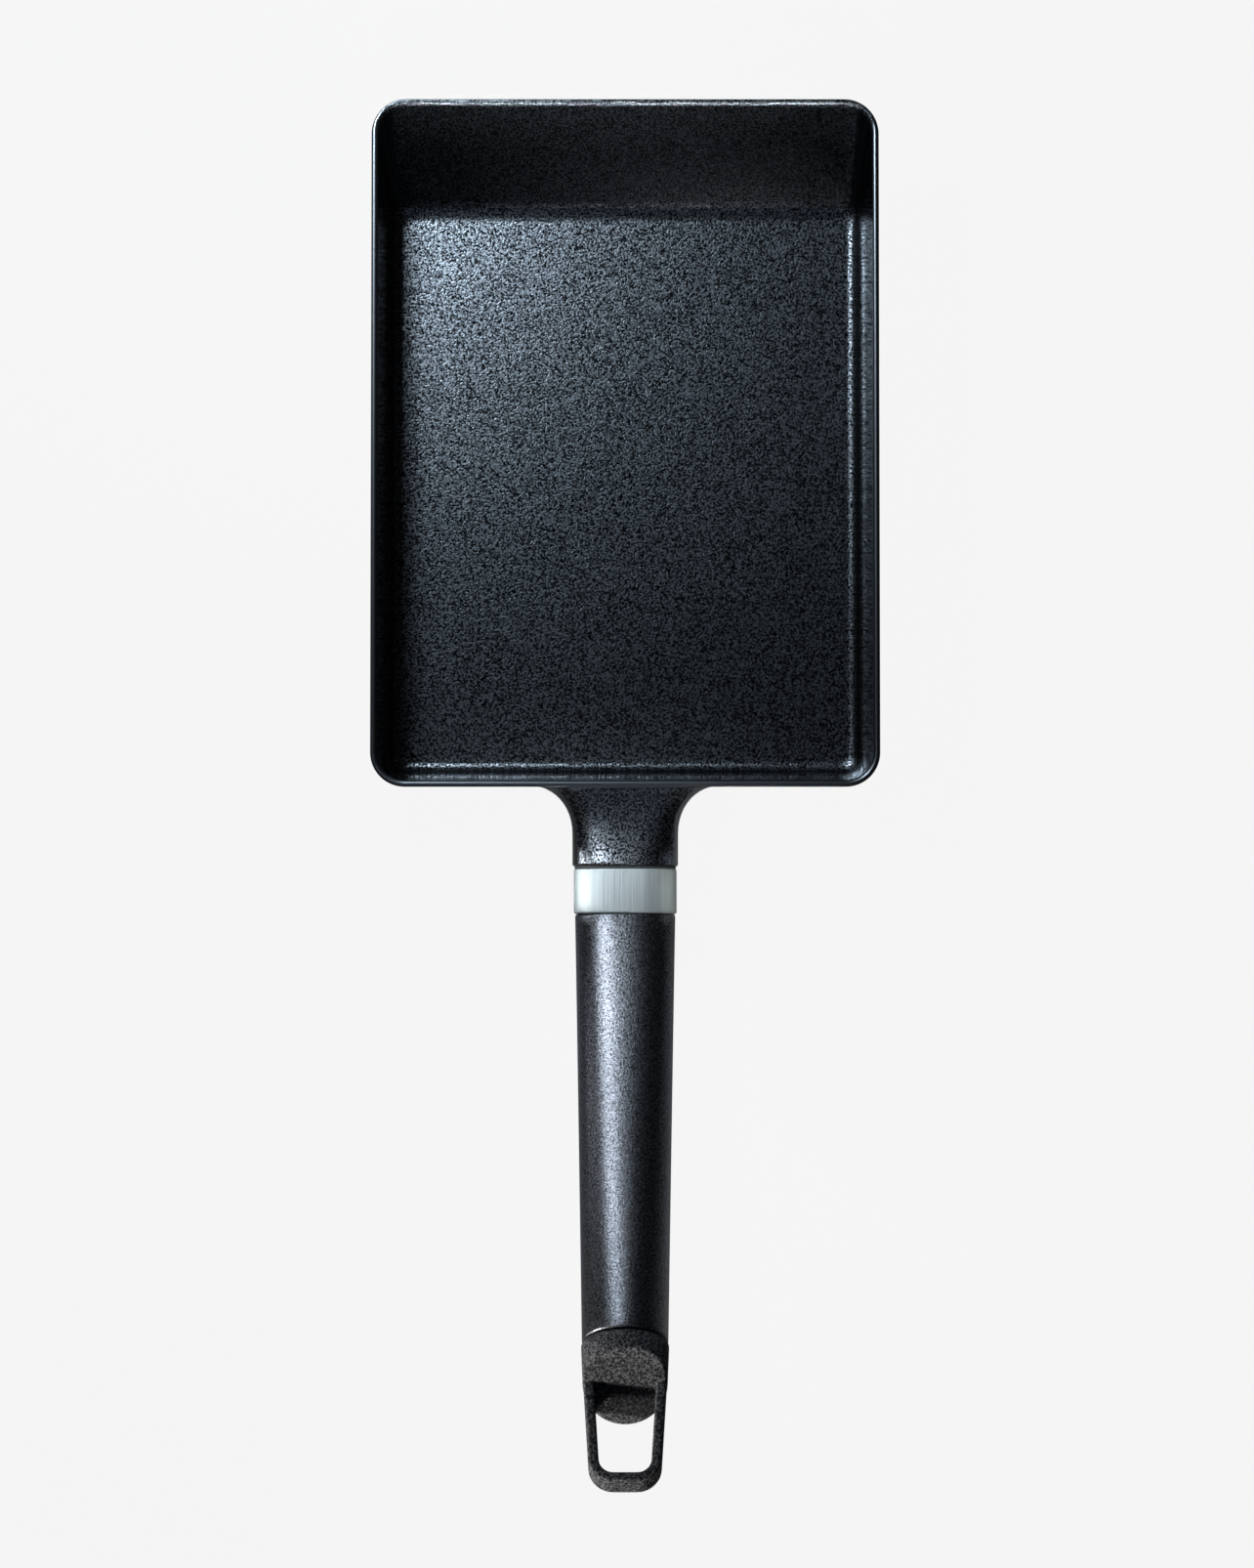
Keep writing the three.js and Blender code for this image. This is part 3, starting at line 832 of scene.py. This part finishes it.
def makeBrushed(name, finish):
    # noise stretched by its three scales: streaks along the handle, or an even plating
    material, nodes, links = newMaterial(name)
    shader = nodes["Principled BSDF"]
    shader.inputs["Metallic"].default_value = 1
    place = nodes.new("ShaderNodeTexCoord")
    stretch = nodes.new("ShaderNodeMapping")
    stretch.inputs["Scale"].default_value = finish["streaks"]
    links.new(place.outputs["Object"], stretch.inputs["Vector"])
    texture = nodes.new("ShaderNodeTexNoise")
    texture.inputs["Scale"].default_value = 1      # the mapping sets the scale
    texture.inputs["Detail"].default_value = noise["streakDetail"]
    links.new(stretch.outputs["Vector"], texture.inputs["Vector"])
    streaks = texture.outputs["Fac"]
    addBump(nodes, links, streaks, finish, shader)
    contrast = addRange(nodes, links, streaks, noise["contrastSpan"], 0, 1)
    colour = addTint(nodes, links, contrast, finish["dark"], finish["light"])
    links.new(colour, shader.inputs["Base Color"])
    roughness = addRange(nodes, links, streaks, noise["roughSpan"], finish["smooth"], finish["rough"])
    links.new(roughness, shader.inputs["Roughness"])
    return material


gasketFinish = dict(
    dark=(0.004, 0.004, 0.004),
    light=(0.012, 0.012, 0.012),
    coarse=2500,
    fine=6000,
    fineShare=0.5,
    speckle=(0.3, 0.7),
    depth=0.00005,
    strength=0.6,
    sheen=0.7,
    matt=0.9,
    metallic=0.0,
    reflection=0.4,
)
zincFinish = dict(
    dark=(0.42, 0.43, 0.44),
    light=(0.60, 0.61, 0.62),
    streaks=(2400, 2400, 2400),
    depth=0.00001,
    strength=0.3,
    smooth=0.25,
    rough=0.4,
)

dress(panBody, makePanCoat())
dress(gripBar, makeResin("grip resin", gripFinish))
dress(endCap, makeResin("cap resin", capFinish))
dress(ferruleSleeve, makeBrushed("ferrule steel", steelFinish))
dress(frame["nodes"]["neck_gasket"], makeResin("gasket fibre", gasketFinish))
zinc = makeBrushed("zinc plate", zincFinish)
for name in ("tie_bolt", "flat_washer", "lock_washer", "cap_screw"):
    dress(frame["nodes"][name], zinc)
print("materials made")


# camera, floor and lights

shot = dict(
    target=(0.0005, -0.09365, 0.035),
    distance=1.4,
    tilt=math.radians(3),
    lens=118.3,
    sensor=36,
    clipEnd=20,
)


def makeCamera():
    bpy.ops.object.camera_add(rotation=(shot["tilt"], 0, 0))
    camera = bpy.context.object
    away = Vector((0, -math.sin(shot["tilt"]), math.cos(shot["tilt"])))
    camera.location = Vector(shot["target"]) + away * shot["distance"]
    camera.data.lens = shot["lens"]
    camera.data.sensor_width = shot["sensor"]
    camera.data.clip_end = shot["clipEnd"]
    bpy.context.scene.camera = camera


studio = dict(
    floorSize=6,
    floorDrop=0.0002,          # keeps the floor clear of the base
    floorColour=(0.22, 0.22, 0.22, 1),
    floorRoughness=0.9,
    white=0.945,               # strength of the background as the camera sees it
    seenShare=0.96,            # the rest of the floor takes light and shadow
    mirroredShare=0.06,        # how much of the white floor shows in reflections
    fill=0.012,                # strength of the world's own light
)


def addMath(nodes, operation, factor):
    step = nodes.new("ShaderNodeMath")
    step.operation = operation
    step.inputs[1].default_value = factor
    return step


def addShaderMix(nodes, links, factor, first, second):
    blend = nodes.new("ShaderNodeMixShader")
    links.new(factor, blend.inputs["Fac"])
    links.new(first.outputs[0], blend.inputs[1])
    links.new(second.outputs[0], blend.inputs[2])
    return blend


def makeFloor():
    bpy.ops.mesh.primitive_plane_add(size=studio["floorSize"], location=(0, 0, -studio["floorDrop"]))
    ground = bpy.context.object
    ground.name = "studio_floor"
    material, nodes, links = newMaterial("studio floor")
    shader = nodes["Principled BSDF"]
    shader.inputs["Base Color"].default_value = studio["floorColour"]
    shader.inputs["Roughness"].default_value = studio["floorRoughness"]
    glow = nodes.new("ShaderNodeEmission")
    glow.inputs["Strength"].default_value = studio["white"]
    path = nodes.new("ShaderNodeLightPath")
    mirrored = nodes.new("ShaderNodeMath")
    mirrored.operation = "MAXIMUM"
    links.new(path.outputs["Is Glossy Ray"], mirrored.inputs[0])
    links.new(path.outputs["Is Transmission Ray"], mirrored.inputs[1])
    share = addMath(nodes, "MULTIPLY", studio["seenShare"])
    links.new(path.outputs["Is Camera Ray"], share.inputs[0])
    total = addMath(nodes, "MULTIPLY_ADD", studio["mirroredShare"])
    links.new(mirrored.outputs[0], total.inputs[0])
    links.new(share.outputs[0], total.inputs[2])
    lit = addShaderMix(nodes, links, total.outputs[0], shader, glow)
    # from below the floor is clear, so that the base can be looked at
    clear = nodes.new("ShaderNodeBsdfTransparent")
    side = nodes.new("ShaderNodeNewGeometry")
    fromBelow = addProduct(nodes, links, side.outputs["Backfacing"], path.outputs["Is Camera Ray"])
    seen = addShaderMix(nodes, links, fromBelow, lit, clear)
    links.new(seen.outputs[0], nodes["Material Output"].inputs["Surface"])
    dress(ground, material)


def makeWorld():
    world = bpy.data.worlds.new("studio")
    bpy.context.scene.world = world
    world.use_nodes = True
    nodes = world.node_tree.nodes
    links = world.node_tree.links
    nodes["Background"].inputs["Color"].default_value = (1, 1, 1, 1)
    path = nodes.new("ShaderNodeLightPath")
    strength = addRange(nodes, links, path.outputs["Is Camera Ray"], (0, 1),
                        studio["fill"], studio["white"])
    links.new(strength, nodes["Background"].inputs["Strength"])


# each lamp is a small panel with a grid that narrows its beam: metres, watts, degrees
lamps = [
    dict(name="key softbox", place=(-0.144, 0.178, 0.27), target=(-0.04, 0.075, 0),
         width=0.07, length=0.07, power=0.8, colour=(0.76, 0.89, 1.0), spread=115),
    dict(name="grip strip", place=(-0.09, -0.13, 0.22), target=(0.002, -0.155, 0.034),
         width=0.05, length=0.08, power=0.027, colour=(0.82, 0.91, 1.0), spread=39),
    dict(name="grip end strip", place=(-0.1, -0.09, 0.23), target=(0.002, -0.22, 0.045),
         width=0.03, length=0.08, power=0.0024, colour=(0.82, 0.91, 1.0), spread=10),
    dict(name="ferrule strip", place=(-0.35, -0.134, 0.11), target=(0, -0.1204, 0.04),
         width=0.014, length=0.05, power=0.005, colour=(0.92, 0.97, 1.0), spread=1.5),
    dict(name="ferrule edge", place=(0.35, -0.135, 0.1), target=(0, -0.1212, 0.04),
         width=0.014, length=0.05, power=0.001, colour=(0.92, 0.97, 1.0), spread=1.5),
    dict(name="neck strip", place=(-0.09, -0.1, 0.22), target=(0, -0.112, 0.045),
         width=0.015, length=0.07, power=0.0022, colour=(0.88, 0.94, 1.0), spread=5),
    dict(name="grip side light", place=(-0.5, -0.19, 0.14), target=(0, -0.19, 0.045),
         width=0.06, length=0.06, power=0.0015, colour=(0.88, 0.93, 1.0), spread=8),
    dict(name="cap side light", place=(-0.37, -0.42, 0.185), target=(0, -0.268, 0.06),
         width=0.05, length=0.05, power=0.11, colour=(1.0, 0.98, 0.97), spread=24),
    dict(name="cap end light", place=(-0.042, -0.667, 0.186), target=(0, -0.268, 0.06),
         width=0.05, length=0.05, power=0.005, colour=(1.0, 0.98, 0.97), spread=6),
    dict(name="far wall light", place=(0, -0.6, 0.25), target=(-0.003, 0.078, 0.02),
         width=0.03, length=0.03, power=0.0003, colour=(0.96, 0.93, 1.0), spread=8),
    dict(name="far lip strip", place=(0, -0.35, 0.5), target=(0, 0.0935, 0.035),
         width=0.14, length=0.012, power=0.006, colour=(0.96, 0.97, 1.0), spread=3),
    dict(name="front softbox", place=(0, -0.45, 0.55), target=(0, 0, 0.02),
         width=0.3, length=0.3, power=0.1, colour=(0.6, 0.74, 1.0), spread=180),
]


def aimLamp(name, place, target, width, length, power, colour, spread):
    bpy.ops.object.light_add(type="AREA", location=place)
    lamp = bpy.context.object
    lamp.name = name
    lamp.data.shape = "RECTANGLE"
    lamp.data.size = width
    lamp.data.size_y = length
    lamp.data.energy = power
    lamp.data.color = colour
    lamp.data.spread = math.radians(spread)
    lamp.rotation_euler = (Vector(target) - Vector(place)).to_track_quat("-Z", "Y").to_euler()


makeCamera()
makeFloor()
makeWorld()
for settings in lamps:
    aimLamp(**settings)
bpy.context.scene.view_settings.view_transform = "Standard"
print("camera, floor and lights placed")
